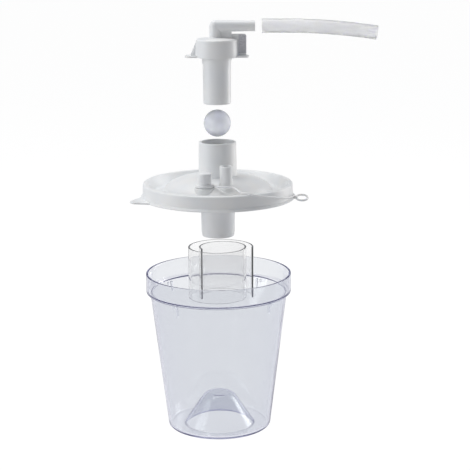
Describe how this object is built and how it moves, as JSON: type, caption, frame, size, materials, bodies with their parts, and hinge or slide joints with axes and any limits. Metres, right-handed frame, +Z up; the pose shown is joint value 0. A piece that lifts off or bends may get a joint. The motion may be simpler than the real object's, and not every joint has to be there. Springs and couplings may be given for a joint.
{
  "type": "suction collection canister",
  "caption": "Clear tapered collection canister with a push-on lid, float-ball shut-off, splash guard, elbow connector and short hose, laid out exploded along its axis.",
  "frame": {"origin": "on the canister's axis, on the plane that its base stands on", "axes": "+Z up the canister's axis, +X along the hose, -Y towards the lid's two ports"},
  "size_m": [0.2224, 0.1406, 0.3792],
  "materials": {
    "clear_canister": "clear, polished, faint blue tint",
    "clear_guard": "clear, polished, neutral",
    "white_plastic": "white, semi-gloss, moulded",
    "milky_ball": "milky, translucent",
    "hose_vinyl": "milky soft vinyl, translucent",
    "seal_rubber": "soft grey seal, satin"
  },
  "bodies": {
    "canister": {"canister_jar": "clear_canister"},
    "lid": {"lid": "white_plastic", "lid_seal_ring": "seal_rubber", "ball_cage": "white_plastic", "tether_strap": "white_plastic", "pull_ring": "white_plastic"},
    "splash_guard": {"splash_guard": "clear_guard"},
    "port_cap": {"port_cap": "white_plastic"},
    "elbow_seat": {"elbow_seal_ring": "seal_rubber"},
    "elbow": {"elbow_connector": "white_plastic"},
    "float_ball": {"float_ball": "milky_ball"},
    "hose": {"hose": "hose_vinyl"}
  },
  "joints": [
    {"name": "lid_seating", "type": "slide", "parent": "canister", "child": "lid", "axis": [0, 0, -1], "range_m": [0, 0.081]},
    {"name": "guard_fitting", "type": "slide", "parent": "lid", "child": "splash_guard", "axis": [0, 0, 1], "range_m": [0, 0.0484]},
    {"name": "port_cap_pull", "type": "slide", "parent": "lid", "child": "port_cap", "axis": [0, 0, 1], "range_m": [0, 0.014]},
    {"name": "elbow_seating", "type": "slide", "parent": "lid", "child": "elbow_seat", "axis": [0, 0, -1], "range_m": [0, 0.0883]},
    {"name": "elbow_swivel", "type": "hinge", "parent": "elbow_seat", "child": "elbow", "pos_m": [0, 0, 0.3453], "axis": [0, 0, 1], "continuous": true},
    {"name": "float_rise", "type": "slide", "parent": "elbow_seat", "child": "float_ball", "axis": [0, 0, 1], "range_m": [0, 0.0113]},
    {"name": "hose_fitting", "type": "slide", "parent": "elbow", "child": "hose", "axis": [-1, 0, 0], "range_m": [0, 0.018]}
  ]
}
